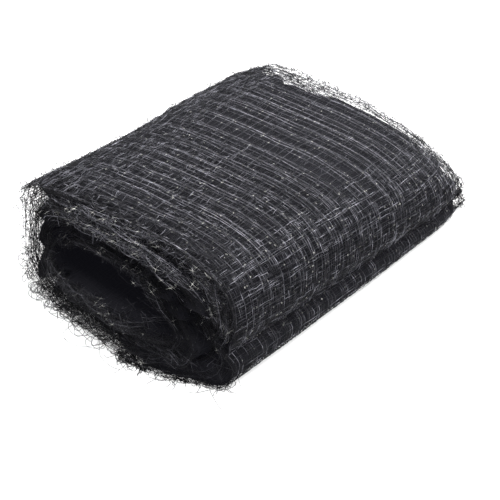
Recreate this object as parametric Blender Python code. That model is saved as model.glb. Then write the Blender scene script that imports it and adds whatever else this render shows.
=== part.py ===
"""Bird netting as it is packed: a gathered strip of net, wound flat round its long axis.

Metres, +Z up. +X runs along the winding's axis from its open, thicker end to its closed, thinner
end, -Y faces the side with the strip's outer end, and the winding lies on Z = 0. The origin is the
middle of the box's bottom.
"""

import bpy
import numpy as np

COLLECTION = "bird_netting"
NODE = "netting"

POINTS_PER_TURN = 48
TURNS = 2.46
STATIONS = 22

# The gap between two turns, as a share of one turn's thickness.
TURN_GAP = 0.13
# The strip's outer and inner ends are rounded over this share of a turn, by this share of a pitch.
END_LENGTH = 0.035
OUTER_END_ROUNDING = 0.20
INNER_END_ROUNDING = 0.25
# The strip passes under the turn before it from this far before the outer end to this far after it.
DIVE_BEFORE = 0.035
DIVE_AFTER = 0.060
# The least height that a quarter of a section keeps above or below its widest point.
LEAST_RISE = 0.002
# How far the round underside would reach below the surface that flattens it.
FLATTENING = 0.003
# How many turns deep the sections of a turn have moved to the core's height.
CORE_TURNS = 3.0
# The squareness that the sections reach at that depth, quarter by quarter from the right side up.
CORE_SQUARENESS = (1.6, 2.6, 2.6, 1.7)

# A row for each section across the axis. right and left are the sides in Y, crown is where the top
# is highest in Y, right_at and left_at are the heights of the widest points, and core is the height
# of the middle of the hollow core.
SECTION_COLUMNS = ("x", "right", "left", "crown", "top", "right_at", "left_at", "core")
SECTIONS = (
    (-0.180, -0.110, 0.078, -0.018, 0.087, 0.030, 0.056, 0.038),
    (-0.150, -0.116, 0.082, -0.018, 0.089, 0.029, 0.056, 0.038),
    (-0.100, -0.119, 0.087, -0.014, 0.089, 0.028, 0.052, 0.037),
    (-0.040, -0.120, 0.095, -0.004, 0.087, 0.025, 0.047, 0.035),
    (0.020, -0.121, 0.110, 0.010, 0.083, 0.022, 0.042, 0.032),
    (0.070, -0.121, 0.120, 0.022, 0.077, 0.020, 0.038, 0.030),
    (0.110, -0.120, 0.129, 0.032, 0.071, 0.017, 0.036, 0.028),
    (0.145, -0.114, 0.130, 0.036, 0.063, 0.014, 0.035, 0.026),
)

# The thickness of one turn on each side of the winding, gap included.
PITCH_COLUMNS = ("x", "on_right", "on_left", "on_top", "below")
PITCHES = (
    (-0.180, 0.0200, 0.0140, 0.0125, 0.0130),
    (0.000, 0.0200, 0.0145, 0.0130, 0.0132),
    (0.145, 0.0200, 0.0150, 0.0114, 0.0118),
)

# How square each quarter of a section is: 2 is an ellipse, and more is squarer.
SQUARENESS_COLUMNS = ("x", "right_top", "left_top", "left_base", "right_base")
SQUARENESS = (
    (-0.180, 3.4, 3.4, 3.2, 8.0),
    (-0.040, 4.4, 3.2, 3.1, 8.0),
    (0.070, 3.4, 3.4, 3.2, 8.0),
    (0.145, 1.9, 3.6, 3.4, 8.0),
)

# Where the strip's two long edges lie in X, by the turns counted from its outer end.
EDGE_COLUMNS = ("turn", "open_end", "closed_end")
EDGES = (
    (0.00, -0.137, 0.148),
    (0.10, -0.133, 0.146),
    (0.25, -0.141, 0.149),
    (0.38, -0.154, 0.153),
    (0.50, -0.158, 0.151),
    (0.62, -0.170, 0.146),
    (0.75, -0.170, 0.145),
    (0.83, -0.165, 0.148),
    (0.87, -0.148, 0.150),
    (0.92, -0.138, 0.150),
    (1.00, -0.140, 0.146),
    (1.25, -0.145, 0.142),
    (1.50, -0.158, 0.141),
    (1.75, -0.169, 0.140),
    (1.90, -0.158, 0.139),
    (2.10, -0.146, 0.138),
    (2.46, -0.152, 0.138),
)

# Broad uneven waves of the wound surface along X: height and length of each, and where it starts.
WAVES = ((0.0009, 0.047, 0.010), (0.0006, 0.029, 0.004))
# The same for the strip's edges, in turns instead of metres.
EDGE_WAVES = ((0.0016, 0.31, 0.05), (0.0010, 0.13, 0.02))

NET_COLOUR = (0.018, 0.018, 0.021, 1.0)
NET_ROUGHNESS = 0.42


def clear_scene():
    for obj in list(bpy.data.objects):
        bpy.data.objects.remove(obj, do_unlink=True)


def net_material():
    material = bpy.data.materials.new("black_netting")
    material.use_nodes = True
    shader = material.node_tree.nodes["Principled BSDF"]
    shader.inputs["Base Color"].default_value = NET_COLOUR
    shader.inputs["Roughness"].default_value = NET_ROUGHNESS
    shader.inputs["Metallic"].default_value = 0.0
    return material


def smooth_step(value):
    value = np.clip(value, 0.0, 1.0)
    return value * value * (3.0 - 2.0 * value)


def read_table(rows, columns, name, at):
    """The named column at the places in at, on a smooth curve through the table's rows."""
    rows = np.array(rows)
    places = rows[:, 0]
    values = rows[:, columns.index(name)]
    slopes = np.gradient(values, places)
    at = np.clip(at, places[0], places[-1])
    row = np.clip(np.searchsorted(places, at, side="right") - 1, 0, len(places) - 2)
    span = places[row + 1] - places[row]
    t = (at - places[row]) / span
    rising = smooth_step(t)
    start_pull = t * (1.0 - t) ** 2 * span * slopes[row]
    end_pull = t * t * (1.0 - t) * span * slopes[row + 1]
    return values[row] * (1.0 - rising) + values[row + 1] * rising + start_pull - end_pull


def waves(rows, at):
    return sum(height * np.sin(2.0 * np.pi * (at - start) / length) for height, length, start in rows)


def section_value(name, x):
    return read_table(SECTIONS, SECTION_COLUMNS, name, x)


def pitch(name, x):
    return read_table(PITCHES, PITCH_COLUMNS, name, x)


def squareness(name, x):
    return read_table(SQUARENESS, SQUARENESS_COLUMNS, name, x)


def turn_depth(turn):
    """How many turns deep the strip's outer face lies: whole numbers, with a dive to each next one."""
    dives = range(1, int(TURNS) + 2)
    return sum(smooth_step((turn - dive + DIVE_BEFORE) / (DIVE_BEFORE + DIVE_AFTER)) for dive in dives)


def wound_point(turn, depth, x):
    """Y and Z of the winding's outline, depth turns deep, at a place round it from the right side."""
    fraction = (turn - np.floor(turn)) * 4.0
    quarter = np.minimum(np.floor(fraction), 3.0).astype(int)
    angle = (fraction - quarter) * np.pi / 2.0
    wave = waves(WAVES, x)
    crown = section_value("crown", x)
    core = section_value("core", x)
    inward = depth / CORE_TURNS
    right = section_value("right", x) + depth * pitch("on_right", x) - 0.6 * wave
    left = section_value("left", x) - depth * pitch("on_left", x) + 0.6 * wave
    top = section_value("top", x) - depth * pitch("on_top", x) + wave
    base = depth * pitch("below", x) - FLATTENING
    right_at = section_value("right_at", x)
    right_at = right_at + (core - right_at) * inward
    left_at = section_value("left_at", x)
    left_at = left_at + (core - left_at) * inward
    # Each quarter runs from a side to the top or the base, or back: half width, rise and squareness.
    half = np.choose(quarter, (right - crown, left - crown, left - crown, right - crown))
    side_at = np.choose(quarter, (right_at, left_at, left_at, right_at))
    rise = np.choose(
        quarter,
        (
            np.maximum(top - right_at, LEAST_RISE),
            np.maximum(top - left_at, LEAST_RISE),
            -np.maximum(left_at - base, LEAST_RISE),
            -np.maximum(right_at - base, LEAST_RISE),
        ),
    )
    power = np.choose(
        quarter,
        (
            squareness("right_top", x),
            squareness("left_top", x),
            squareness("left_base", x),
            squareness("right_base", x),
        ),
    )
    power = power + (np.choose(quarter, CORE_SQUARENESS) - power) * inward
    from_side = np.where(quarter % 2 == 0, angle, np.pi / 2.0 - angle)
    reach = (np.cos(from_side) ** power + np.sin(from_side) ** power) ** (-1.0 / power)
    y = crown + half * reach * np.cos(from_side)
    z = side_at + rise * reach * np.sin(from_side)
    return y, np.maximum(z, depth * pitch("below", x))


def even_fractions():
    """Shares of a turn that put the points evenly along the outer turn at the middle of the axis."""
    fine = np.linspace(0.0, 1.0, 2000, endpoint=False)
    y, z = wound_point(fine, np.zeros_like(fine), np.zeros_like(fine))
    steps = np.hypot(np.diff(y, append=y[:1]), np.diff(z, append=z[:1]))
    run = np.concatenate(([0.0], np.cumsum(steps)))
    wanted = np.linspace(0.0, run[-1], POINTS_PER_TURN, endpoint=False)
    return np.interp(wanted, run, np.append(fine, 1.0))


def path_turns():
    fractions = even_fractions()
    turns = np.concatenate([whole + fractions for whole in range(int(TURNS) + 1)])
    return turns[turns <= TURNS]


def strip_faces():
    """Points of the strip's outer and inner faces, each an array of turn, station and X, Y, Z."""
    turns = path_turns()
    along = np.linspace(0.0, 1.0, STATIONS)
    turn, t = np.meshgrid(turns, along, indexing="ij")
    edge_wave = waves(EDGE_WAVES, turn)
    open_end = read_table(EDGES, EDGE_COLUMNS, "open_end", turn) + edge_wave
    closed_end = read_table(EDGES, EDGE_COLUMNS, "closed_end", turn) - edge_wave
    x = open_end + (closed_end - open_end) * t
    at_outer_end = 1.0 - smooth_step(turn / END_LENGTH)
    at_inner_end = 1.0 - smooth_step((turns[-1] - turn) / END_LENGTH)
    outer = turn_depth(turn) + OUTER_END_ROUNDING * at_outer_end
    outer = outer + INNER_END_ROUNDING * at_inner_end
    inner = turn_depth(turn + 1.0) - TURN_GAP - INNER_END_ROUNDING * at_inner_end
    return (
        np.stack((x, *wound_point(turn, outer, x)), axis=-1),
        np.stack((x, *wound_point(turn, inner, x)), axis=-1),
    )


def strip_mesh():
    """One closed mesh: the outer and inner faces of the strip, joined along its four edges."""
    outer, inner = strip_faces()
    turns, stations = outer.shape[:2]
    points = np.concatenate((outer.reshape(-1, 3), inner.reshape(-1, 3)))
    low = points.min(axis=0)
    high = points.max(axis=0)
    points -= ((low[0] + high[0]) / 2.0, (low[1] + high[1]) / 2.0, low[2])
    index = np.arange(turns * stations).reshape(turns, stations)
    under = index + turns * stations
    faces = []
    for i in range(turns - 1):
        for j in range(stations - 1):
            faces.append((index[i, j], index[i, j + 1], index[i + 1, j + 1], index[i + 1, j]))
            faces.append((under[i, j], under[i + 1, j], under[i + 1, j + 1], under[i, j + 1]))
        faces.append((index[i, 0], index[i + 1, 0], under[i + 1, 0], under[i, 0]))
        faces.append((index[i, -1], under[i, -1], under[i + 1, -1], index[i + 1, -1]))
    for j in range(stations - 1):
        faces.append((index[0, j], under[0, j], under[0, j + 1], index[0, j + 1]))
        faces.append((index[-1, j], index[-1, j + 1], under[-1, j + 1], under[-1, j]))
    mesh = bpy.data.meshes.new(NODE)
    mesh.from_pydata(points.tolist(), [], [tuple(int(i) for i in face) for face in faces])
    mesh.validate()
    return mesh


def make_netting(collection):
    netting = bpy.data.objects.new(NODE, strip_mesh())
    netting.data.materials.append(net_material())
    netting.data.shade_smooth()
    netting.data.set_sharp_from_angle(angle=np.radians(50.0))
    collection.objects.link(netting)
    return netting


def main():
    clear_scene()
    collection = bpy.data.collections.new(COLLECTION)
    bpy.context.scene.collection.children.link(collection)
    make_netting(collection)


main()
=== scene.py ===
"""Looks of the wound bundle of bird netting: its dense inside, the strands and knots of its outer
layers, the folds, strays and curls at its ends, materials, light and camera.

Metres. X runs along the winding's axis. A place on the winding has four numbers: run, the length along
the strip from its outer end, or turn, the turns counted from there; across, from the strip's open-end
edge; lift, above the outer face; and deeper, in turns. A table's first row names its columns.
"""

import bpy
import numpy as np
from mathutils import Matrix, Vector


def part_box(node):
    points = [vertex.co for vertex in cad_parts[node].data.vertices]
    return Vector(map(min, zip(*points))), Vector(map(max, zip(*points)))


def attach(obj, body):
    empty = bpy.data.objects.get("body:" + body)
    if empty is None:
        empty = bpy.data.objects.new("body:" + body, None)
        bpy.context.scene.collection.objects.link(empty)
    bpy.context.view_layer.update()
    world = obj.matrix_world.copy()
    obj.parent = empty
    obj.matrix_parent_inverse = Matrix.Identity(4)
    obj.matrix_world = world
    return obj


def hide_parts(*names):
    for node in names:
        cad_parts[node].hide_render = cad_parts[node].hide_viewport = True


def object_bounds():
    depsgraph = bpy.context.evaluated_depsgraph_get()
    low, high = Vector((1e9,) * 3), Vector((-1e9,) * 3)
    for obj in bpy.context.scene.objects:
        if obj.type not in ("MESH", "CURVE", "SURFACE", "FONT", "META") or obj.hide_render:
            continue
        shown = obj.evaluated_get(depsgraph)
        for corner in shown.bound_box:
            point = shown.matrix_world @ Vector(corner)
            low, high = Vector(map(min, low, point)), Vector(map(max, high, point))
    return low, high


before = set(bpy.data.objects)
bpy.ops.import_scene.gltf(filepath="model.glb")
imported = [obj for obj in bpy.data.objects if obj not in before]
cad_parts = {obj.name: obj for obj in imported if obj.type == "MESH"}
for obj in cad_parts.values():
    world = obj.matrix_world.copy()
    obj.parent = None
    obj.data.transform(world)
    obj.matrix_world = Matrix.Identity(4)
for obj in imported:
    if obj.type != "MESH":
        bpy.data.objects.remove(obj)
CAD_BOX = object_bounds()
# How far loose strands may stand out of the solid's box. In the last part of that, this share of it,
# their way out is cut to the same share.
OVERHANG = np.array((0.018, 0.016, 0.011))
OVERHANG_SLOWED = 0.4

NODE = "netting"
BODY = "root"
BAKE_MAP = "OFBake"
PLACE_MAP = "net_place"
# The points' lightness: random tone, with painted light and shade.
PAINTED_LIGHT_AND_TONE = "net_lightness"
TUBE_SIDES = 3
KNOT_FACES = np.array(
    ((0, 1, 4), (1, 2, 4), (2, 3, 4), (3, 0, 4), (1, 0, 5), (2, 1, 5), (3, 2, 5), (0, 3, 5))
)
KNOT_UV = np.array(((1.0, 0.5), (0.5, 1.0), (0.0, 0.5), (0.5, 0.0), (0.45, 0.5), (0.55, 0.5)))
# No faces, and their places in the baked image.
NO_QUADS = (np.zeros((0, 4), int), np.zeros((0, 4, 2)))
NO_TRIANGLES = (np.zeros((0, 3), int), np.zeros((0, 3, 2)))

# ---- The winding's shape, with the same rows as the solid ----

TURNS = 2.46
TURN_GAP = 0.13
END_LENGTH = 0.035
OUTER_END_ROUNDING = 0.20
INNER_END_ROUNDING = 0.25
DIVE_BEFORE = 0.035
DIVE_AFTER = 0.060
LEAST_RISE = 0.002
FLATTENING = 0.003
CORE_TURNS = 3.0
CORE_SQUARENESS = (1.6, 2.6, 2.6, 1.7)

SECTIONS = (
    ("x", "right", "left", "crown", "top", "right_at", "left_at", "core"),
    (-0.180, -0.110, 0.078, -0.018, 0.087, 0.030, 0.056, 0.038),
    (-0.150, -0.116, 0.082, -0.018, 0.089, 0.029, 0.056, 0.038),
    (-0.100, -0.119, 0.087, -0.014, 0.089, 0.028, 0.052, 0.037),
    (-0.040, -0.120, 0.095, -0.004, 0.087, 0.025, 0.047, 0.035),
    (0.020, -0.121, 0.110, 0.010, 0.083, 0.022, 0.042, 0.032),
    (0.070, -0.121, 0.120, 0.022, 0.077, 0.020, 0.038, 0.030),
    (0.110, -0.120, 0.129, 0.032, 0.071, 0.017, 0.036, 0.028),
    (0.145, -0.114, 0.130, 0.036, 0.063, 0.014, 0.035, 0.026),
)
PITCHES = (
    ("x", "on_right", "on_left", "on_top", "below"),
    (-0.180, 0.0200, 0.0140, 0.0125, 0.0130),
    (0.000, 0.0200, 0.0145, 0.0130, 0.0132),
    (0.145, 0.0200, 0.0150, 0.0114, 0.0118),
)
SQUARENESS = (
    ("x", "right_top", "left_top", "left_base", "right_base"),
    (-0.180, 3.4, 3.4, 3.2, 8.0),
    (-0.040, 4.4, 3.2, 3.1, 8.0),
    (0.070, 3.4, 3.4, 3.2, 8.0),
    (0.145, 1.9, 3.6, 3.4, 8.0),
)
EDGES = (
    ("turn", "open_end", "closed_end"),
    (0.00, -0.137, 0.148),
    (0.10, -0.133, 0.146),
    (0.25, -0.141, 0.149),
    (0.38, -0.154, 0.153),
    (0.50, -0.158, 0.151),
    (0.62, -0.170, 0.146),
    (0.75, -0.170, 0.145),
    (0.83, -0.165, 0.148),
    (0.87, -0.148, 0.150),
    (0.92, -0.138, 0.150),
    (1.00, -0.140, 0.146),
    (1.25, -0.145, 0.142),
    (1.50, -0.158, 0.141),
    (1.75, -0.169, 0.140),
    (1.90, -0.158, 0.139),
    (2.10, -0.146, 0.138),
    (2.46, -0.152, 0.138),
)

# ---- The net ----

STRIP_WIDTH = 0.3
STRAND_RADIUS = 0.0002
CROSS_RADIUS = 0.00012
LOOSE_RADIUS = 0.00012
FRINGE_RADIUS = 0.00018
EDGE_FRINGE_RADIUS = 0.00014
STRAY_RADIUS = 0.00011
KNOT_SPACING = 0.0165
# How far knots reach from their middles, and half their thickness.
KNOT_SIZE = ((0.0008, 0.0018), 0.00032)
WEAVE_KNOT_SIZE = ((0.0006, 0.0013), 0.00032)
STAR_SIZE = ((0.0022, 0.005), 0.00013)
KNOT_TILT = 0.3
KNOT_NARROWING = 0.8

# How far apart the bands of gathered strands lie, and the share of that which they take up.
BAND_SPACINGS = (
    ("across", "spacing", "spread"),
    (0.000, 0.0105, 0.70),
    (0.070, 0.0118, 0.70),
    (0.120, 0.0160, 0.72),
    (0.180, 0.0182, 0.70),
    (0.300, 0.0165, 0.66),
)
# The size, rate and start of the waves that make the bands' widths uneven.
BAND_WAVES = ((0.12, 57.0, 0.8), (0.06, 131.0, 2.1))
# The bands' height over the troughs, and the share of it that they have round the turn.
BAND_HEIGHT = 0.0036
SWELLS = (
    ("turn", "swell"),
    *((0.0, 0.3), (0.08, 0.4), (0.16, 0.8), (0.26, 1.0), (0.36, 0.45), (0.46, 0.4), (0.6, 0.4)),
    *((0.84, 0.05), (0.98, 0.05), (1.04, 0.25), (2.46, 0.4)),
)

# How far the dense inside stays under the outer strands, and how far it stops short of the strip's two
# edges, where single layers show through.
INSIDE_DROP = 0.0014
INSETS = (
    ("turn", "open_end", "closed_end"),
    (0.00, 0.007, 0.018),
    (0.07, 0.007, 0.014),
    (0.14, 0.007, 0.010),
    (0.22, 0.008, 0.015),
    (0.30, 0.012, 0.024),
    (0.38, 0.019, 0.022),
    (0.50, 0.028, 0.013),
    (0.62, 0.012, 0.009),
    (0.70, 0.011, 0.008),
    (0.78, 0.008, 0.010),
    (0.84, 0.004, 0.011),
    (0.90, 0.004, 0.012),
    (1.00, 0.007, 0.016),
    (1.50, 0.010, 0.008),
    (2.46, 0.008, 0.008),
)

# The outer turn's layers, from the top one down. The backs are how far their edges stay short of the
# strip's. Rows of knots lie off the common rows by row_shift.
# A layer's lightness is painted shade: the lower layers are painted darker, as the ones above shade them.
LAYERS = (
    ("lift", "open_back", "closed_back", "row_shift", "knot_share", "slack_share", "lightness"),
    (0.0013, 0.0000, 0.0020, 0.0000, 0.80, 0.05, 1.10),
    (0.0012, 0.0060, 0.0000, 0.0084, 0.70, 0.05, 0.85),
    (0.0011, 0.0020, 0.0200, 0.0007, 0.60, 0.10, 1.00),
    (0.0010, 0.0090, 0.0010, 0.0090, 0.50, 0.10, 0.80),
    (0.0007, 0.0120, 0.0210, 0.0042, 0.40, 0.30, 0.11),
    (0.0006, 0.0100, 0.0030, -0.0040, 0.30, 0.30, 0.11),
    (0.0005, 0.0160, 0.0230, 0.0020, 0.30, 0.40, 0.08),
    (0.0004, 0.0040, 0.0240, -0.0020, 0.30, 0.40, 0.08),
)
# The top layers' lines have more points. Groups of this many layers share a band's width evenly.
LAYERS_SIDE_BY_SIDE = 4
LAYERS_PER_PIECE = 4
# A layer has a line on its open edge and two on its closed one, EDGE_WIDTH apart. Its other lines keep
# EDGE_WIDTH away from the open one and SEE_THROUGH_WIDTH from the closed one.
EDGE_WIDTH = 0.004
SEE_THROUGH_WIDTH = 0.011
# Each layer's rows of knots are a little closer or wider, and meet the others' on the top.
ROW_STRETCH = 0.015
ROWS_MEET_AT = 0.17
# How far its knots stray along the strip, across it, and in height.
ROW_WAVE = 0.0014
ROW_SCATTER = 0.0007
LINE_WAVE = 0.0004
LINE_SCATTER = 0.0002
LAYER_UNEVEN = 0.0003
# Near the strip's edges, where single layers show through, its lines are wavier and may stand out.
WAVY_WIDTH = 0.022
EDGE_WAVE = 0.0012
EDGE_UNEVEN = 0.0016
EDGES_OUT = (0.003, 0.005)
SHEERS = (
    ("turn", "sheer"),
    *((0.0, 0.3), (0.14, 0.6), (0.24, 1.0), (0.55, 1.0), (0.68, 0.2), (0.9, 0.0), (2.46, 0.0)),
)
# How far strands across the strip bow sideways, lie under the others, and rise and sink. A few stand up.
SLACK_BOW = 0.0042
TAUT_BOW = 0.0006
CROSS_DROP = 0.0003
CROSS_UNEVEN = 0.0003
RAISED_SHARE = 0.04
RAISED_BY = (0.0004, 0.002)

# The two ends: the strip's edge and the way inward, how many folds show, the depths of the first and
# last, how far their loops reach in, how uneven they are, the lines of each, and the end's curls.
ENDS = (
    ("name", "edge", "inward", "folds", "first", "last", "legs", "uneven", "lines", "curls", "seed"),
    ("open_end", 0.0, 1.0, 12, 0.0, 0.97, 0.01, 0.002, 4, 200, 500),
    ("closed_end", STRIP_WIDTH, -1.0, 8, 0.02, 0.86, 0.009, 0.0026, 1, 450, 700),
)
# How far past the strip's edge the loops of the folds reach.
REACHES = (
    ("turn", "reach"),
    *((0.0, 0.0015), (0.3, 0.0015), (0.5, 0.003), (0.62, 0.0018), (0.82, 0.0025), (0.9, 0.0025)),
    *((1.0, 0.0015), (2.46, 0.0015)),
)
LOOP_SPACING = 0.62 * KNOT_SPACING
LOOP_WIDTH = 0.0022
LEAST_LOOP_WIDTH = 0.0004
LOOP_SKEW = 0.0035
FOLD_INSET_SHARE = 0.45
FOLD_SCATTER = 0.02
FOLD_KNOT_SHARE = 0.14
LINE_BACK = (0.002, 0.012)
LINE_WANDER = 0.0022
LINE_DEPTH_WANDER = 0.03
END_CURL_BACK = (0.001, 0.009)
END_CURL_LENGTH = 0.017
END_CURL_TURNING = 150.0
END_CURL_LEAN = 0.3

# Short loose strands on the outer face. crossing is the share that lie across the strip.
LOOSE = (
    ("turn_from", "turn_to", "across_from", "across_to", "count", "crossing", "length", "level"),
    (-0.02, 0.13, 0.002, 0.290, 400, 0.45, 0.0090, 1.00),
    (0.12, 0.34, 0.000, 0.110, 1000, 0.60, 0.0045, 1.10),
    (0.12, 0.34, 0.090, 0.290, 1100, 0.70, 0.0040, 0.50),
    (0.31, 0.42, -0.002, 0.290, 2450, 0.92, 0.0075, 0.80),
    (0.41, 0.56, -0.002, 0.290, 900, 0.90, 0.0075, 0.70),
)
LOOSE_LIFT = (0.0008, 0.0018)
LOOSE_HUMP = 0.0004
LOOSE_TURNING = 0.07
LOOSE_BOW = 0.025

# Fine threads square to each other, and how light those along and across the strip and their knots are;
# on the knots it is a painted glint.
WEAVES = (
    ("turn_from", "turn_to", "across_from", "across_to", "spacing", "along", "across", "knots"),
    (0.00, 0.14, 0.002, 0.292, 0.0027, 1.90, 2.20, 0.60),
    (0.00, 0.12, 0.004, 0.290, 0.0036, 1.70, 2.10, 0.60),
    (0.84, 1.00, 0.002, 0.290, 0.0044, 2.20, 2.40, 0.60),
    (0.12, 0.34, 0.000, 0.135, 0.0044, 1.20, 1.00, 0.60),
    (0.40, 0.76, 0.002, 0.286, 0.0068, 0.80, 0.80, 0.20),
)
WEAVE_STEP = 0.0042
WEAVE_WANDER = 0.0006
WEAVE_SCATTER = 0.22
WEAVE_KNOT_SHARE = 0.1

# Stray strands at the open end, the share of their points with a star-shaped knot, which has a painted
# glint, and their lightness, painted light and shade zone by zone.
STRAYS = (
    ("turn_from", "turn_to", "deeper_from", "deeper_to", "count", "star_share", "level"),
    (0.05, 0.34, 0.36, 1.50, 360, 0.050, 0.95),
    (2.06, 2.36, 0.55, 1.05, 90, 0.03, 0.4),
    (1.14, 1.38, -0.25, 0.80, 170, 0.05, 1.0),
    (1.62, 1.92, 0.00, 1.00, 80, 0.02, 0.3),
    (0.66, 0.92, 0.10, 1.00, 80, 0.03, 0.35),
    (-0.02, 0.08, 0.00, 2.00, 40, 0.05, 0.15),
    (0.00, 0.14, 0.20, 1.10, 120, 0.03, 0.3),
    (0.62, 1.00, 2.00, 2.50, 30, 0.01, 0.35),
    (0.46, 1.00, 2.00, 2.90, 70, 0.01, 0.12),
    (0.04, 0.45, 2.60, 3.00, 40, 0.01, 0.12),
)
# Strays start this far in from the edge, bulge out and wander. Short straight rungs join them.
STRAY_LENGTH = 0.09
STRAY_START = 0.005
STRAY_BULGE = (0.001, 0.007)
STRAY_SCATTER = 0.0003
STRAY_DEPTH_SCATTER = 0.009
RUNGS_PER_STRAY = 2
RUNG_ACROSS = (-0.001, 0.006)
RUNG_SLANT = 0.003
RUNG_DEPTH = (0.2, 0.7)

# Curls that stand out: how far they lean along X, their length, and how far they turn, in degrees.
LOW_FRINGE = (
    ("turn_from", "turn_to", "across_from", "across_to", "lean", "count", "length", "turning"),
    (0.60, 0.70, 0.000, 0.008, -0.45, 50, 0.046, 620.0),
    (0.66, 0.74, 0.000, 0.008, -0.45, 50, 0.040, 640.0),
    (0.58, 0.76, 0.001, 0.010, -0.30, 90, 0.010, 420.0),
    (0.745, 0.76, 0.000, 0.003, -0.35, 14, 0.036, 400.0),
    (0.785, 0.82, 0.000, 0.004, -0.40, 50, 0.034, 640.0),
    (0.78, 0.87, 0.000, 0.007, -0.30, 200, 0.011, 420.0),
    (0.86, 0.90, 0.000, 0.005, -0.40, 30, 0.008, 300.0),
    (0.825, 0.89, 0.000, 0.004, -0.40, 16, 0.018, 120.0),
)
EDGE_FRINGE = (
    ("turn_from", "turn_to", "across_from", "across_to", "lean", "count", "length", "turning"),
    (0.35, 0.62, -0.002, 0.012, -0.10, 120, 0.010, 460.0),
    (0.35, 0.62, 0.012, 0.028, -0.05, 120, 0.010, 460.0),
    (0.385, 0.41, 0.002, 0.292, 0.00, 460, 0.011, 360.0),
    (0.12, 0.45, 0.290, 0.303, 0.10, 420, 0.010, 400.0),
    (-0.02, 0.20, 0.280, 0.294, 0.10, 200, 0.005, 400.0),
    (0.20, 0.45, 0.270, 0.286, 0.10, 420, 0.005, 400.0),
    (-0.05, 0.14, 0.286, 0.302, 0.10, 300, 0.007, 400.0),
    (0.84, 1.02, 0.290, 0.303, 0.20, 110, 0.008, 400.0),
)
FRINGE_LIFT = 0.0015
FRINGE_DEPTH = 0.04
FRINGE_OUTWARD = 0.6
CURL_STEP = np.radians(45.0)
CURL_ALONG = 0.8
CURL_SCATTER = 0.55
CURL_LENGTHS = (0.4, 1.5)
CURL_TURNINGS = (0.2, 1.3)
CURL_WAVE = 0.15

# ---- How light the strands are: random tone, and painted light and shade ----

# Painted light and shade on the outer turn's strands round the turn, lightest on the top and darkest
# underneath: those along the strip, and those across it.
OUTER_PAINTED_LIGHT = (
    ("turn", "along", "across"),
    (0.00, 0.11, 0.14),
    (0.06, 0.15, 0.19),
    (0.13, 0.42, 0.40),
    (0.18, 0.55, 0.42),
    (0.30, 0.62, 0.48),
    (0.36, 0.24, 0.38),
    (0.43, 0.20, 0.28),
    (0.54, 0.20, 0.22),
    (0.70, 0.16, 0.18),
    (0.80, 0.05, 0.05),
    (0.90, 0.08, 0.10),
    (0.95, 0.22, 0.30),
    (1.00, 0.24, 0.32),
    (1.10, 0.18, 0.24),
)
# Painted shade towards the open end: how far in it fades, and the share of lightness left at the edge.
PAINTED_SHADE_END_WIDTH = 0.04
PAINTED_SHADE_END_SHARE = 0.15
# Painted shade in the troughs between the bands: the share of lightness that strands keep there.
TROUGH_PAINTED_SHADE_SHARES = {"along": 0.35, "across": 0.06}
BAND_UNEVENNESS = 0.22
# The least and the most that a strand, its stretches and its points have of that.
STRAND_SPREAD = (0.55, 1.1)
STRETCH_SPREAD = (0.45, 1.25)
POINT_SPREAD = (0.7, 1.3)
STRETCH_POINTS = 3

# The ends' strands: painted light in the zones where some catch the light, and the painted shade they have
# elsewhere.
PAINTED_LIGHT_ZONES = (
    ("turn_from", "turn_to", "deeper_from", "deeper_to", "level"),
    (0.02, 0.36, -0.50, 0.80, 0.15),
    (0.06, 0.33, 0.70, 1.10, 0.22),
    (2.12, 2.36, 0.40, 1.10, 0.09),
    (1.60, 1.92, 0.00, 1.10, 0.07),
    (0.68, 0.92, 0.50, 1.10, 0.08),
    (0.36, 0.66, -0.50, 0.30, 0.08),
    (-0.10, 0.06, -0.50, 0.30, 0.12),
)
DEEP_PAINTED_SHADE = 0.02
ZONE_BLUR = {"turn": 0.05, "deeper": 0.15}

# Random lightness: the least, how much more there can be, and a power that leaves most of them dark.
FEW_LIGHT = (0.04, 1.4, 6)
CROSS_LIGHT = (0.15, 1.35, 2)
# Painted glint on the outer layers' knots, bright on a few.
KNOT_PAINTED_GLINT = (0.0, 1.0, 3)
THREAD_LIGHT = (0.1, 0.9, 2)
THREAD_POINT_LIGHT = (0.0, 1.0, 3)
# Painted glint on the weave's knots, bright on a few.
WEAVE_KNOT_PAINTED_GLINT = (0.0, 1.0, 2)
LOOSE_LIGHT = (0.0, 1.0, 4)
LOOP_LIGHT = 0.8
# Painted glint on the knots at the folds.
FOLD_KNOT_PAINTED_GLINT = 0.6
STRAY_LIGHT = (0.03, 1.1, 3.5)
RUNG_LIGHT = (0.0, 1.0, 3)
# Painted glint on the strays' star-shaped knots.
STAR_PAINTED_GLINT = 2.0

# ---- Looks ----

# The ramp's two colours, the roughness, and the part of the noise that the ramp shows.
# The strands' light colour, with the specular turned low, is partly a painted sheen of the black plastic.
STRAND_LOOK = ((0.0045, 0.0045, 0.0054), (0.495, 0.492, 0.56), 0.45, (0.22, 0.72))
# The knots' lighter colours are a painted glint.
KNOT_LOOK = ((0.01, 0.01, 0.011), (0.74, 0.74, 0.69), 0.4, (0.2, 0.42))
PATCH_SCALE = 240.0
INSIDE_COLOUR = (0.0048, 0.0048, 0.006)
INSIDE_LINE_COLOUR = (0.016, 0.016, 0.0195)
# A painted glow: the inside gives off a little light of its own, standing in for the light that comes
# through the openwork to its darkest places.
INSIDE_PAINTED_GLOW = (0.0034, 0.0034, 0.0048)
# The inside's sets of thin lines: the axis they follow each other along, their spacing, how far they
# stray, and what sets their noise off from the others'. The noise's scales are for sets along Y.
LINE_SETS = (
    *(("Y", 0.0031, 0.004, 1.0), ("Y", 0.0043, 0.006, 2.0)),
    *(("X", 0.0033, 0.008, 3.0), ("X", 0.0047, 0.01, 4.0)),
)
WANDER_SCALE = (50.0, 220.0)
BRIGHT_SCALE = (110.0, 800.0)

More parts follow.
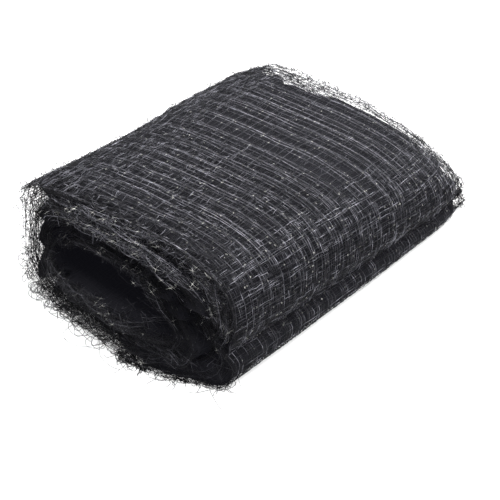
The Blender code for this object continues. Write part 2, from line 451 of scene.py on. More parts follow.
LIGHTS = (
    ("name", "place", "target", "size", "power"),
    ("key", (0.55, 0.05, 1.8), (0.0, 0.0, 0.05), 1.8, 170.0),
    ("side", (0.45, -1.6, 1.1), (0.0, 0.0, 0.05), 1.2, 26.0),
    ("end", (-1.0, 0.05, 0.16), (-0.16, 0.0, 0.04), 0.6, 4.0),
    ("back", (0.3, 1.6, 1.3), (0.0, 0.0, 0.05), 1.2, 20.0),
)
CAMERA_PLACE = (-0.3612, -0.3624, 0.378)
CAMERA_TURN = -46.12
CAMERA_PITCH = 38.11
CAMERA_LENS = 54.64


# ---- Places on the winding ----


def smooth_step(value):
    value = np.clip(value, 0.0, 1.0)
    return value * value * (3.0 - 2.0 * value)


def rows_of(table):
    """A table's rows, each as a dictionary."""
    names, *rows = table
    return [dict(zip(names, row)) for row in rows]


def seeded_rows(table, seed):
    """A table's rows, each with random numbers of its own."""
    return [(np.random.default_rng(seed + number), row) for number, row in enumerate(rows_of(table))]


def read(table, name, at):
    """The named column at places like the first one's, on a smooth curve through the rows."""
    names, *rows = table
    places, values = np.array(rows)[:, (0, names.index(name))].T
    slopes = np.gradient(values, places)
    at = np.clip(at, places[0], places[-1])
    row = np.clip(np.searchsorted(places, at, side="right") - 1, 0, len(places) - 2)
    span = places[row + 1] - places[row]
    t = (at - places[row]) / span
    rising = smooth_step(t)
    start_pull = t * (1.0 - t) ** 2 * span * slopes[row]
    end_pull = t * t * (1.0 - t) * span * slopes[row + 1]
    return values[row] * (1.0 - rising) + values[row + 1] * rising + start_pull - end_pull


def read_all(table, at):
    """Every column but the first."""
    return {name: read(table, name, at) for name in table[0][1:]}


def turn_depth(turn):
    """How many turns deep the strip's outer face lies: whole numbers, with a dive to each next one."""
    dives = range(1, int(TURNS) + 2)
    return sum(smooth_step((turn - dive + DIVE_BEFORE) / (DIVE_BEFORE + DIVE_AFTER)) for dive in dives)


def outline(turn, depth, x):
    """Y and Z of the winding's outline, depth turns deep, at a place round it from the right side."""
    fraction = (turn - np.floor(turn)) * 4.0
    quarter = np.minimum(np.floor(fraction), 3.0).astype(int)
    angle = (fraction - quarter) * np.pi / 2.0
    section, pitch, square = (read_all(table, x) for table in (SECTIONS, PITCHES, SQUARENESS))
    inward = depth / CORE_TURNS
    crown, core = section["crown"], section["core"]
    right = section["right"] + depth * pitch["on_right"]
    left = section["left"] - depth * pitch["on_left"]
    top = section["top"] - depth * pitch["on_top"]
    base = depth * pitch["below"] - FLATTENING
    right_at, left_at = (section[at] + (core - section[at]) * inward for at in ("right_at", "left_at"))
    half = np.choose(quarter, (right - crown, left - crown, left - crown, right - crown))
    side_at = np.choose(quarter, (right_at, left_at, left_at, right_at))
    rises = (top - right_at, top - left_at, left_at - base, right_at - base)
    rise = np.maximum(np.choose(quarter, rises), LEAST_RISE)
    rise = np.where(quarter < 2, rise, -rise)
    power = np.choose(quarter, list(square.values()))
    power = power + (np.choose(quarter, CORE_SQUARENESS) - power) * inward
    from_side = np.where(quarter % 2 == 0, angle, np.pi / 2.0 - angle)
    reach = (np.cos(from_side) ** power + np.sin(from_side) ** power) ** (-1.0 / power)
    y = crown + half * reach * np.cos(from_side)
    z = side_at + rise * reach * np.sin(from_side)
    return y, np.maximum(z, depth * pitch["below"])


def path_lengths():
    """Turns along the strip and the lengths run to reach them, at the middle of the axis."""
    turns = np.linspace(0.0, TURNS, 4800)
    y, z = outline(turns, turn_depth(turns), np.zeros_like(turns))
    return turns, np.concatenate(([0.0], np.cumsum(np.hypot(np.diff(y), np.diff(z)))))


PATH_TURNS, PATH_RUN = path_lengths()
PATH_LENGTH = float(PATH_RUN[-1])
PATH_MARGIN = 0.001


def turn_at(run):
    return np.interp(run, PATH_RUN, PATH_TURNS)


def run_at(turn):
    return np.interp(turn, PATH_TURNS, PATH_RUN)


def on_strip(run):
    return np.clip(run, 0.0, PATH_LENGTH - PATH_MARGIN)


def axis_x(turn, across):
    """X of a place across the strip."""
    edge = read_all(EDGES, turn)
    return edge["open_end"] + (edge["closed_end"] - edge["open_end"]) * across / STRIP_WIDTH


def grid(first, second):
    return np.meshgrid(first, second, indexing="ij")


def cad_shift():
    """What moves the shape made by the tables to where the solid lies."""
    turn, across = grid(np.linspace(0.0, TURNS, 400), np.linspace(0.0, STRIP_WIDTH, 60))
    x = axis_x(turn, across)
    y, _ = outline(turn, turn_depth(turn), x)
    low, high = (np.array(corner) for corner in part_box(NODE))
    middle = (low + high) / 2.0
    return np.array((*(m - (v.min() + v.max()) / 2.0 for m, v in zip(middle, (x, y))), low[2]))


CAD_SHIFT = cad_shift()


def winding_place(turn, across, lift=0.0, deeper=0.0):
    """Points and outward normals of places on the winding."""
    turn, across, lift, deeper = np.broadcast_arrays(turn, across, lift, deeper)
    x = axis_x(turn, across)
    y, z = outline(turn, turn_depth(turn) + deeper, x)
    near = 0.002
    before, after = (outline(beside, turn_depth(beside) + deeper, x) for beside in (turn - near, turn + near))
    along_y, along_z = after[0] - before[0], after[1] - before[1]
    size = np.maximum(np.hypot(along_y, along_z), 1e-9)
    normal = np.stack((np.zeros_like(x), -along_z / size, along_y / size), axis=-1)
    points = np.stack((x, y, z), axis=-1) + normal * lift[..., None] + CAD_SHIFT
    points[..., 2] = np.maximum(points[..., 2], STRAND_RADIUS)
    return points, normal


def places_at(run, across, lift=0.0, deeper=0.0):
    """Places as rows of these four numbers."""
    return np.stack(np.broadcast_arrays(run, across, lift, deeper), axis=-1)


def on_winding(places):
    """Points and outward normals of places in rows."""
    run, across, lift, deeper = np.moveaxis(places, -1, 0)
    turn = turn_at(run)
    rounding = OUTER_END_ROUNDING * (1.0 - smooth_step(turn / END_LENGTH))
    return winding_place(turn, across, lift, deeper + rounding)


def ripple(seed, wavelength, *places):
    """A smooth uneven value, about -1 to 1, over one or more kinds of place in metres."""
    rng = np.random.default_rng(seed)
    total = 0.0
    waves = 5
    for _ in range(waves):
        rate = 2.0 * np.pi / wavelength * rng.uniform(0.6, 1.5)
        directions = rng.normal(size=len(places))
        directions = directions / np.linalg.norm(directions)
        start = rng.uniform(0.0, 2.0 * np.pi)
        total = total + np.sin(rate * sum(d * p for d, p in zip(directions, places)) + start)
    return total / np.sqrt(waves)


def drawn_ripple(rng, wavelength, *places):
    return ripple(int(rng.integers(9999)), wavelength, *places)


def band_phases():
    """Places across the strip, and the count of bands up to each."""
    across = np.linspace(-0.02, STRIP_WIDTH + 0.02, 4000)
    count = np.cumsum(1.0 / read(BAND_SPACINGS, "spacing", across)) * (across[1] - across[0])
    for size, rate, start in BAND_WAVES:
        count = count + size * np.sin(rate * across + start)
    return across, count


BAND_ACROSS, BAND_PHASE = band_phases()


def band_phase(across):
    return np.interp(across, BAND_ACROSS, BAND_PHASE)


def band_across(phase):
    return np.interp(phase, BAND_PHASE, BAND_ACROSS)


def band_wander(run, across):
    """How far the bunched bands stray sideways along the strip."""
    return 0.0009 * ripple(3, 0.16, run, 0.35 * across) + 0.0003 * ripple(4, 0.05, run, 0.5 * across)


def band_crest(run, across):
    """1 on the crests where strands bunch, and 0 in the narrow troughs between."""
    phase = 2.0 * np.pi * band_phase(across - band_wander(run, across))
    return 0.5 + 0.38 * np.cos(phase) + 0.12 * np.cos(2.0 * phase)


def stand_share(run):
    """The share of their distance that layers have round the turn: less where the bands are low."""
    return 0.3 + 0.7 * read(SWELLS, "swell", turn_at(run))


def band_lift(run, across):
    """Height on the bands."""
    crest = np.clip(band_crest(run, across), 0.0, 1.0)
    uneven = 0.85 + 0.25 * ripple(5, 0.06, run, across)
    return BAND_HEIGHT * read(SWELLS, "swell", turn_at(run)) * uneven * (crest**0.7 - 0.75)


def drawn(rng, zone, kind, shape):
    """Random places of one kind between a zone's two limits."""
    return rng.uniform(zone[f"{kind}_from"], zone[f"{kind}_to"], shape)


def drawn_places(rng, zone):
    """Run and across of a zone's random places."""
    return run_at(drawn(rng, zone, "turn", zone["count"])), drawn(rng, zone, "across", zone["count"])


# ---- Meshes ----

# A part's arrays are its points, quads, triangles, the places of both in the baked image, and the
# lightness of its points: random tone, with painted light and shade.


def new_object(name, data):
    obj = bpy.data.objects.new(name, data)
    bpy.context.scene.collection.objects.link(obj)
    return obj


def net_piece(name, parts, material):
    """One piece of net, from its parts' arrays."""
    points, quads, triangles, quad_uv, triangle_uv, lightness = joined(parts)
    corners = np.concatenate((quads.reshape(-1), triangles.reshape(-1))).astype(np.int32)
    starts = (np.arange(len(quads)) * 4, len(quads) * 4 + np.arange(len(triangles)) * 3)
    places = np.concatenate((quad_uv.reshape(-1), triangle_uv.reshape(-1)))
    points = np.maximum(points, (-np.inf, -np.inf, 0.0))
    mesh = bpy.data.meshes.new(name)
    mesh.vertices.add(len(points))
    mesh.vertices.foreach_set("co", points.astype(np.float32).reshape(-1))
    mesh.loops.add(len(corners))
    mesh.loops.foreach_set("vertex_index", corners)
    mesh.polygons.add(len(quads) + len(triangles))
    mesh.polygons.foreach_set("loop_start", np.concatenate(starts).astype(np.int32))
    mesh.update(calc_edges=True)
    mesh.uv_layers.new(name=BAKE_MAP).uv.foreach_set("vector", places.astype(np.float32))
    level = mesh.attributes.new(PAINTED_LIGHT_AND_TONE, "FLOAT", "POINT")
    level.data.foreach_set("value", lightness.astype(np.float32))
    mesh.validate()
    mesh.shade_smooth()
    mesh.materials.append(material)
    obj = new_object(name, mesh)
    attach(obj, BODY)
    return obj


def unit(vectors):
    return vectors / np.maximum(np.linalg.norm(vectors, axis=-1, keepdims=True), 1e-12)


def tube_arrays(lines, radius, lightness):
    """Closed three-sided tubes along lines, an array of line, point and X, Y, Z."""
    count, length = lines.shape[:2]
    lightness = np.repeat(np.broadcast_to(lightness, (count, length)).reshape(-1), TUBE_SIDES)
    along = unit(np.gradient(lines, axis=1))
    side = np.empty_like(lines)
    side[:, 0] = unit(np.cross(along[:, 0], (0.31, 0.52, 0.79)))
    for j in range(1, length):
        kept = side[:, j - 1]
        side[:, j] = unit(kept - along[:, j] * (kept * along[:, j]).sum(axis=-1, keepdims=True))
    up = np.cross(along, side)
    angles = [2.0 * np.pi * k / TUBE_SIDES for k in range(TUBE_SIDES)]
    points = np.stack([lines + radius * (np.cos(a) * side + np.sin(a) * up) for a in angles], axis=2)
    index = np.arange(count * length * TUBE_SIDES).reshape(count, length, TUBE_SIDES)
    beside = np.roll(index, -1, axis=2)
    quads = np.stack((index[:, :-1], beside[:, :-1], beside[:, 1:], index[:, 1:]), axis=-1)
    caps = np.stack((index[:, 0, ::-1], index[:, -1]), axis=1)
    low = np.stack(grid(np.linspace(0.0, 1.0, length), np.arange(TUBE_SIDES) / TUBE_SIDES), axis=-1)
    high = low + (0.0, 1.0 / TUBE_SIDES)
    quad_uv = np.stack((low[:-1], high[:-1], high[1:], low[1:]), axis=2).reshape(-1, 4, 2)
    cap_uv = np.array((((0.0, 0.0), (0.04, 0.0), (0.0, 0.9)), ((1.0, 0.0), (0.96, 0.0), (1.0, 0.9))))
    uv = (in_cells(count, places) for places in (quad_uv, cap_uv))
    return points.reshape(-1, 3), quads.reshape(-1, 4), caps.reshape(-1, 3), *uv, lightness


def in_cells(count, places):
    """Places in a unit square, moved with a margin into each of count cells that share the square."""
    columns = max(1, int(np.sqrt(count / 12.0)))
    rows = int(np.ceil(count / columns))
    number = np.arange(count)
    low = np.stack((number // rows / columns, number % rows / rows), axis=-1)
    size = np.array((1.0 / columns, 1.0 / rows))
    inside = low[:, None, None] + size * (0.03 + 0.94 * places)[None]
    return inside.reshape(-1, places.shape[1], 2)


def knot_cross_arrays(knots, along, across, out, half_long, half_wide, thickness, lightness):
    """A flattened cross at each knot: two thin double pyramids."""
    parts = []
    for axis, half, other in ((along, half_long, across), (across, half_wide, along)):
        tips = (axis * half, other * thickness, -axis * half, -other * thickness)
        tips = (*tips, out * thickness, -out * thickness)
        points = np.stack([knots + tip for tip in tips], axis=1).reshape(-1, 3)
        index = np.arange(len(points)).reshape(-1, len(tips))
        uv = in_cells(len(knots), KNOT_UV[KNOT_FACES])
        triangles = index[:, KNOT_FACES].reshape(-1, 3)
        level = np.repeat(lightness, len(tips))
        parts.append((points, NO_QUADS[0], triangles, NO_QUADS[1], uv, level))
    return joined(parts)


def joined(parts):
    """The arrays of several parts as one, each part in its own band of the baked image."""
    offset = 0
    share = 0.0
    weights = np.array([len(part[1]) * 2.0 + len(part[2]) for part in parts])
    weights = weights / weights.sum()
    moved = []
    for (points, quads, triangles, *uv, lightness), weight in zip(parts, weights):
        uv = (places * np.array((1.0, weight)) + np.array((0.0, share)) for places in uv)
        moved.append((points, quads + offset, triangles + offset, *uv, lightness))
        offset += len(points)
        share += weight
    return tuple(np.concatenate(arrays) for arrays in zip(*moved))


# ---- Materials ----


def principled(name):
    """A new material, its node tree and its shader."""
    material = bpy.data.materials.new(name)
    material.use_nodes = True
    return material, material.node_tree, material.node_tree.nodes["Principled BSDF"]


def fill(tree, node, inputs):
    """Sets a node's inputs, by name or number, to plain values, or links them to outputs."""
    for name, value in inputs.items():
        if isinstance(value, bpy.types.NodeSocket):
            tree.links.new(value, node.inputs[name])
        else:
            node.inputs[name].default_value = value
    return node


def add_node(tree, kind, inputs):
    return fill(tree, tree.nodes.new(f"ShaderNode{kind}"), inputs)


def math_node(tree, operation, *values):
    """One sum on sockets or plain numbers."""
    node = tree.nodes.new("ShaderNodeMath")
    node.operation = operation
    return fill(tree, node, dict(enumerate(values))).outputs["Value"]


def map_range(tree, value, low, high):
    return add_node(tree, "MapRange", {"From Min": low, "From Max": high, "Value": value}).outputs["Result"]


def noise_node(tree, place, scale, detail):
    return add_node(tree, "TexNoise", {"Scale": scale, "Detail": detail, "Vector": place}).outputs["Fac"]


def ramp_by_lightness(tree, level, dark, light):
    """The colour between dark and light at a level times the points' lightness, which holds random tone and
    painted light and shade.
    """
    lightness = tree.nodes.new("ShaderNodeAttribute")
    lightness.attribute_name = PAINTED_LIGHT_AND_TONE
    shown = math_node(tree, "MULTIPLY", level, lightness.outputs["Fac"])
    ramp = add_node(tree, "ValToRGB", {"Fac": shown})
    for stop, colour in zip(ramp.color_ramp.elements, (dark, light)):
        stop.color = (*colour, 1.0)
    return ramp.outputs["Color"]


def strand_material(name, dark, light, roughness, patch_range):
    """Black plastic strand, lighter in random patches and from strand to strand; its lighter colours are
    partly a painted sheen.
    """
    material, tree, shader = principled(name)
    place = tree.nodes.new("ShaderNodeTexCoord").outputs["Object"]
    patches = map_range(tree, noise_node(tree, place, PATCH_SCALE, 2.0), *patch_range)
    colour = ramp_by_lightness(tree, patches, dark, light)
    # Low specular: the plastic's sheen is partly painted into the colour.
    fill(tree, shader, {"Base Color": colour, "Roughness": roughness, "Specular IOR Level": 0.06})
    return material


def moved_noise(tree, place, scale, seed):
    """Noise from 0 to 1 over the strip, stretched by scale, in a place of its own."""
    start = (seed * 3.7, seed * 5.3, seed)
    stretch = add_node(tree, "Mapping", {"Location": start, "Scale": (*scale, 1.0), "Vector": place})
    return noise_node(tree, stretch.outputs["Vector"], 1.0, 1.0)


def thin_lines(tree, place, axis, spacing, stray, seed):
    """Thin uneven lines, 1 on a line and 0 beside it, a spacing apart along one axis of the strip."""
    order = 1 if axis == "Y" else -1
    wander = moved_noise(tree, place, WANDER_SCALE[::order], seed)
    apart = add_node(tree, "SeparateXYZ", {"Vector": place}).outputs[axis]
    counted = math_node(tree, "MULTIPLY", apart, 1.0 / spacing)
    counted = math_node(tree, "MULTIPLY_ADD", wander, stray / spacing, counted)
    line = map_range(tree, math_node(tree, "PINGPONG", counted, 0.5), 0.36, 0.48)
    bright = map_range(tree, moved_noise(tree, place, BRIGHT_SCALE[::order], seed + 0.5), 0.42, 0.60)
    return math_node(tree, "MULTIPLY", line, bright)


def inside_material():
    """The many deeper strands: thin lines along the winding and across it, over black."""
    material, tree, shader = principled("net_inside_layers")
    place = tree.nodes.new("ShaderNodeUVMap")
    place.uv_map = PLACE_MAP
    mesh, *others = (thin_lines(tree, place.outputs["UV"], *line_set) for line_set in LINE_SETS)
    for lines in others:
        mesh = math_node(tree, "MAXIMUM", mesh, lines)
    colour = ramp_by_lightness(tree, mesh, INSIDE_COLOUR, INSIDE_LINE_COLOUR)
    bump = add_node(tree, "Bump", {"Strength": 0.6, "Distance": 0.0006, "Height": mesh})
    fill(tree, shader, {"Base Color": colour, "Normal": bump.outputs["Normal"], "Roughness": 0.75})
    # Painted glow, so that its darkest places are not black.
    fill(tree, shader, {"Emission Color": (*INSIDE_PAINTED_GLOW, 1.0), "Emission Strength": 1.0})
    fill(tree, shader, {"Specular IOR Level": 0.05})
    return material


# ---- The dense inside of the strip ----


def grid_quads(points, turned):
    """Quads of a grid of point numbers or of places, facing one way or the other."""
    corners = (points[:-1, :-1], points[:-1, 1:], points[1:, 1:], points[1:, :-1])
    quads = np.stack(corners[::-1] if turned else corners, axis=2)
    return quads.reshape(-1, *quads.shape[2:])


def grid_places(shape, low, high):
    """Places in the baked image of a grid, spread over a band of it."""
    return np.stack(grid(np.linspace(0.01, 0.99, shape[0]), np.linspace(low, high, shape[1])), axis=-1)


def make_inside(material):
    """The strip's many inner layers as one closed band, a little smaller than the net that shows."""
    rows_per_turn = 62
    stations = 150
    turns = turn_at(np.linspace(0.0, PATH_LENGTH, int(rows_per_turn * TURNS)))
    turn, t = grid(turns, np.linspace(0.0, 1.0, stations))
    run = run_at(turn)
    inset = read_all(INSETS, turn)
    open_inset = inset["open_end"] * (1.0 + 0.30 * ripple(21, 0.02, run) + 0.35 * ripple(24, 0.007, run))
    closed_inset = inset["closed_end"] * (1.0 + 0.25 * ripple(22, 0.03, run) + 0.35 * ripple(25, 0.006, run))
    across = open_inset + (STRIP_WIDTH - open_inset - closed_inset) * t
    outer_rounding = OUTER_END_ROUNDING * (1.0 - smooth_step(turn / END_LENGTH))
    inner_rounding = INNER_END_ROUNDING * (1.0 - smooth_step((TURNS - turn) / END_LENGTH))
    below = turn_depth(turn + 1.0) - turn_depth(turn) - TURN_GAP
    lift = band_lift(run, across) - INSIDE_DROP * stand_share(run)
    outer, _ = winding_place(turn, across, lift, outer_rounding + inner_rounding)
    uneven = 0.0008 * ripple(23, 0.03, run, across)
    inner, _ = winding_place(turn, across, uneven, below - inner_rounding)
    index = np.arange(turn.size).reshape(turn.shape)
    under = index + turn.size
    rims = ((slice(None), 0), (slice(None), -1), 0, -1)
    grids = (index, under, *(np.stack((index[rim], under[rim]), axis=1) for rim in rims))
    turned = (False, True, True, False, False, True)
    bands = ((0.01, 0.46), (0.48, 0.93), (0.94, 0.95), (0.955, 0.965), (0.97, 0.98), (0.985, 0.995))
    quads = np.concatenate([grid_quads(*sheet) for sheet in zip(grids, turned)])
    images = [grid_places(numbers.shape, *band) for numbers, band in zip(grids, bands)]
    uv = np.concatenate([grid_quads(*sheet) for sheet in zip(images, turned)])
    points = np.concatenate((outer.reshape(-1, 3), inner.reshape(-1, 3)))
    # Painted shade: its lines are painted darker in the troughs between the bands, on the turns inside the
    # outer one, and on its inner face.
    shown = 0.10 + 0.90 * smooth_step(band_crest(run, across) * 1.6)
    shown = shown * (0.50 + 0.50 * (1.0 - smooth_step((turn - 0.95) / 0.10)))
    lightness = np.concatenate((shown, np.full_like(shown, 0.2))).reshape(-1)
    arrays = (points, quads, NO_TRIANGLES[0], uv, NO_TRIANGLES[1], lightness)
    obj = net_piece("net_inside", [arrays], material)
    places = np.tile(np.stack((run, across), axis=-1).reshape(-1, 2), (2, 1))
    placed = obj.data.uv_layers.new(name=PLACE_MAP)
    placed.uv.foreach_set("vector", places[quads.reshape(-1)].astype(np.float32).reshape(-1))
    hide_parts(NODE)
    return obj


# ---- Strands ----


def smooth_path(knots, steps):
    """Places on smooth lines through the knots, an array of line, knot and place."""
    first = 2.0 * knots[:, :1] - knots[:, 1:2]
    last = 2.0 * knots[:, -1:] - knots[:, -2:-1]
    padded = np.concatenate((first, knots, last), axis=1)
    gaps = knots.shape[1] - 1
    a, b, c, d = (padded[:, k : k + gaps, None] for k in range(4))
    t = (np.arange(steps) / steps)[:, None]
    path = b + 0.5 * t * (c - a + t * (2.0 * a - 5.0 * b + 4.0 * c - d + t * (3.0 * (b - c) + d - a)))
    path = path.reshape(len(knots), gaps * steps, -1)
    return np.concatenate((path, knots[:, -1:]), axis=1)


def strand_arrays(path, radius, lightness):
    """Tubes along lines of places."""
    return tube_arrays(on_winding(path)[0], radius, lightness)


def kept_close(points):
    """Points drawn back towards the solid's box where they stand far out of it, and onto the floor."""
    low, high = np.array(CAD_BOX[0]) - OVERHANG, np.array(CAD_BOX[1]) + OVERHANG
    near = np.clip(points, low + OVERHANG_SLOWED * OVERHANG, high - OVERHANG_SLOWED * OVERHANG)
    points = np.clip(near + OVERHANG_SLOWED * (points - near), low, high)
    points[..., 2] = np.maximum(points[..., 2], FRINGE_RADIUS)
    return points


def drawn_light(rng, shape, kind):
    """Random lightness of one of the kinds above."""
    least, more, power = kind
    return least + more * rng.uniform(size=shape) ** power


def zone_painted_light(places):
    """Painted light and shade on strands at places of an end: most are painted dark."""
    at = {"turn": turn_at(places[..., 0]), "deeper": places[..., 3]}
    lightness = np.full(places.shape[:-1], DEEP_PAINTED_SHADE)
    for zone in rows_of(PAINTED_LIGHT_ZONES):
        more = zone["level"] - DEEP_PAINTED_SHADE
        for kind, blur in ZONE_BLUR.items():
            past_start = smooth_step((at[kind] - zone[f"{kind}_from"]) / blur)
            more = more * (past_start * smooth_step((zone[f"{kind}_to"] - at[kind]) / blur))
        lightness = np.maximum(lightness, DEEP_PAINTED_SHADE + more)
    return lightness


def outer_painted_light(places, name):
    """Painted light and shade on the outer strands round the turn, with painted shade towards the open end.
    """
    from_end = smooth_step(places[..., 1] / PAINTED_SHADE_END_WIDTH)
    level = read(OUTER_PAINTED_LIGHT, name, turn_at(places[..., 0]))
    return (PAINTED_SHADE_END_SHARE + (1.0 - PAINTED_SHADE_END_SHARE) * from_end) * level


def band_painted_shade_and_tone(places, in_troughs):
    """Painted shade in the troughs between the bands, where strands lie deeper, times random tone that
    differs a little from band to band.
    """
    run, across = places[..., 0], places[..., 1]
    crest = smooth_step(1.5 * band_crest(run, across))
    uneven = 1.0 + BAND_UNEVENNESS * ripple(41, 0.032, across)
    return (in_troughs + (1.0 - in_troughs) * crest) * uneven


def uneven_lightness(rng, lines, points):
    """Lighter and darker strands, each with lighter and darker stretches."""
    level = rng.uniform(*STRAND_SPREAD, (lines, 1))
    stretches = rng.uniform(*STRETCH_SPREAD, (lines, points // STRETCH_POINTS + 1))
    stretches = np.repeat(stretches, STRETCH_POINTS, axis=1)[:, :points]
    return level * stretches * rng.uniform(*POINT_SPREAD, (lines, points))


def knot_arrays(knots, rng, share, lightness, size=KNOT_SIZE):
    """Crosses where strands meet."""
    reach, thickness = size
    points, out = on_winding(knots)
    along = unit(np.gradient(points, axis=1))
    keep = rng.uniform(size=points.shape[:2]) < share
    points, out, along = points[keep], out[keep], along[keep]
    lightness = np.broadcast_to(lightness, keep.shape)[keep]
    tilt = rng.normal(0.0, KNOT_TILT, (2, len(points), 1))
    out = unit(out + along * tilt[0])
    across = unit(np.cross(along, out) + along * tilt[1])
    half_long = rng.uniform(*reach, (len(points), 1))
    half_wide = KNOT_NARROWING * rng.uniform(*reach, (len(points), 1))
    return knot_cross_arrays(points, along, across, out, half_long, half_wide, thickness, lightness)


# ---- The outer turn ----


def band_shares(bands):
    """Where each layer's line lies in each band, from 0 to 1, spread evenly."""
    rng = np.random.default_rng(29)
    layers = len(LAYERS) - 1
    groups = layers // LAYERS_SIDE_BY_SIDE
    places = [[rng.permutation(LAYERS_SIDE_BY_SIDE) for _ in range(groups)] for _ in range(bands)]
    places = np.array(places).reshape(bands, layers)
    return (places + rng.uniform(0.30, 0.70, places.shape)) / LAYERS_SIDE_BY_SIDE


def layer_knots(number, layer, seed):
    """Places where an outer layer's rows meet its lines, one to a band and the ones along its edges."""
    rng = np.random.default_rng(seed)
    low = layer["open_back"]
    high = STRIP_WIDTH - layer["closed_back"]
    bands = np.arange(np.ceil(band_phase(0.0)) - 1, band_phase(STRIP_WIDTH) + 1)
    spread = read(BAND_SPACINGS, "spread", band_across(bands))
    across = band_across(bands + (band_shares(len(bands))[:, number] - 0.5) * spread)
    across = across[(across > low + EDGE_WIDTH) & (across < high - SEE_THROUGH_WIDTH)]
    across = np.concatenate(((low,), across, (high - EDGE_WIDTH, high)))
    spacing = KNOT_SPACING * (1.0 + rng.uniform(-ROW_STRETCH, ROW_STRETCH))
    rows = ROWS_MEET_AT + layer["row_shift"] + spacing * np.arange(-40, 80)
    rows = rows[(rows > 0.0) & (rows < run_at(1.0) + 0.02)]
    run, place = np.meshgrid(rows, across)
    run = run + ROW_WAVE * ripple(6, 0.07, run, place) + rng.normal(0.0, ROW_SCATTER, run.shape)
    run = np.maximum(run, 0.0)
    near_edge = 1.0 - smooth_step(np.minimum(place, STRIP_WIDTH - place) / WAVY_WIDTH)
    drift = LINE_WAVE * ripple(seed + 70, 0.08, run, 12.0 * place)
    sheer = 1.0 + 1.5 * read(SHEERS, "sheer", turn_at(run))
    drift = drift + EDGE_WAVE * near_edge * sheer * ripple(seed + 60, 0.022, run, 12.0 * place)
    fine = rng.normal(0.0, LINE_SCATTER, run.shape) * (1.0 + 4.0 * near_edge * sheer)
    place = place + drift + fine + band_wander(run, place)
    uneven = EDGE_UNEVEN * (1.0 + sheer) * ripple(seed + 80, 0.025, run)
    place = np.clip(place, low + uneven, high + uneven)
    place = np.clip(place, -EDGES_OUT[0], STRIP_WIDTH + EDGES_OUT[1])
    own = LAYER_UNEVEN * ripple(seed + 90, 0.05, run, 15.0 * place)
    return places_at(run, place, band_lift(run, place) + stand_share(run) * (layer["lift"] + own))


def cross_path(knots, rng, slack_share):
    """Places on the strands that join each knot to the one on the next line, some of them slack."""
    first, second = knots[:-1, :, None], knots[1:, :, None]
    t = np.array((0.0, 0.33, 0.67, 1.0))
    path = first * (1.0 - t[:, None]) + second * t[:, None]
    hump = 4.0 * t * (1.0 - t)
    shape = path.shape[:2]
    slack = rng.uniform(size=shape) < slack_share
    bow = np.where(slack, rng.uniform(-1.0, 1.0, shape) * SLACK_BOW, rng.normal(0.0, TAUT_BOW, shape))
    path[..., 0] += hump * bow[..., None]
    sway = np.where(slack, rng.normal(0.0, 0.5, shape) * SLACK_BOW, 0.0)
    path[..., 0] += sway[..., None] * np.sin(2.0 * np.pi * t)
    lifted = rng.normal(-0.3, 1.0, shape) * CROSS_UNEVEN
    raised = rng.uniform(size=shape) < RAISED_SHARE
    lifted = lifted + raised * rng.uniform(*RAISED_BY, shape)
    path[..., 2] += hump * lifted[..., None] - CROSS_DROP
    return path.reshape(-1, *path.shape[2:])


def outer_net():
    """The outer turn's layers, a few to a piece, and their knots."""
    strands, crosses = [], []
    for number, (rng, layer) in enumerate(seeded_rows(LAYERS, 430)):
        knots = layer_knots(number, layer, 30 + number)
        lines = smooth_path(knots, 3 if number < LAYERS_SIDE_BY_SIDE else 2)
        cross = cross_path(knots, rng, layer["slack_share"])
        line_level = uneven_lightness(rng, *lines.shape[:2])
        cross_level = drawn_light(rng, (len(cross), 1), CROSS_LIGHT)
        kinds = (("along", lines, STRAND_RADIUS, line_level), ("across", cross, CROSS_RADIUS, cross_level))
        for name, path, radius, level in kinds:
            # Painted light and shade: round the turn, on the lower layers, and in the troughs.
            level = level * outer_painted_light(path, name) * layer["lightness"]
            level = level * band_painted_shade_and_tone(path, TROUGH_PAINTED_SHADE_SHARES[name])
            strands.append(strand_arrays(path, radius, level))
        knot_level = drawn_light(rng, knots.shape[:2], KNOT_PAINTED_GLINT) * outer_painted_light(knots, "along")
        crosses.append(knot_arrays(knots, rng, layer["knot_share"], knot_level))
    size = 2 * LAYERS_PER_PIECE
    starts = range(0, len(strands), size)
    pieces = {f"net_layers_{start // size + 1}": strands[start : start + size] for start in starts}
    return {**pieces, "net_knots": crosses}


def weave_net():
    """Fine ordered threads along the strip and across it, with small knots on those along."""
    strands, crosses = [], []
    for rng, weave in seeded_rows(WEAVES, 870):
        runs = run_at((weave["turn_from"], weave["turn_to"]))
        widths = (weave["across_from"], weave["across_to"])
        for name, ahead, beside in (("along", runs, widths), ("across", widths, runs)):
            ahead = np.arange(*ahead, WEAVE_STEP)
            beside = np.arange(*beside, weave["spacing"])
            beside = beside + rng.normal(0.0, WEAVE_SCATTER * weave["spacing"], len(beside))
            beside, ahead = grid(beside, ahead)
            beside = beside + WEAVE_WANDER * drawn_ripple(rng, 0.05, ahead, 6.0 * beside)
            run, across = (ahead, beside) if name == "along" else (beside, ahead)
            run = np.clip(run, 0.0, PATH_LENGTH)
            lift = band_lift(run, across) + rng.uniform(*LOOSE_LIFT, (len(run), 1)) * stand_share(run)
            path = places_at(run, across, lift)
            level = weave[name] * drawn_light(rng, (len(path), 1), THREAD_LIGHT)
            level = level * drawn_light(rng, run.shape, THREAD_POINT_LIGHT)
            strands.append(strand_arrays(path, LOOSE_RADIUS, level))
            if name == "along":
                level = weave["knots"] * drawn_light(rng, run.shape, WEAVE_KNOT_PAINTED_GLINT)
                crosses.append(knot_arrays(path, rng, WEAVE_KNOT_SHARE, level, WEAVE_KNOT_SIZE))
    return {"net_weave": strands, "net_weave_knots": crosses}


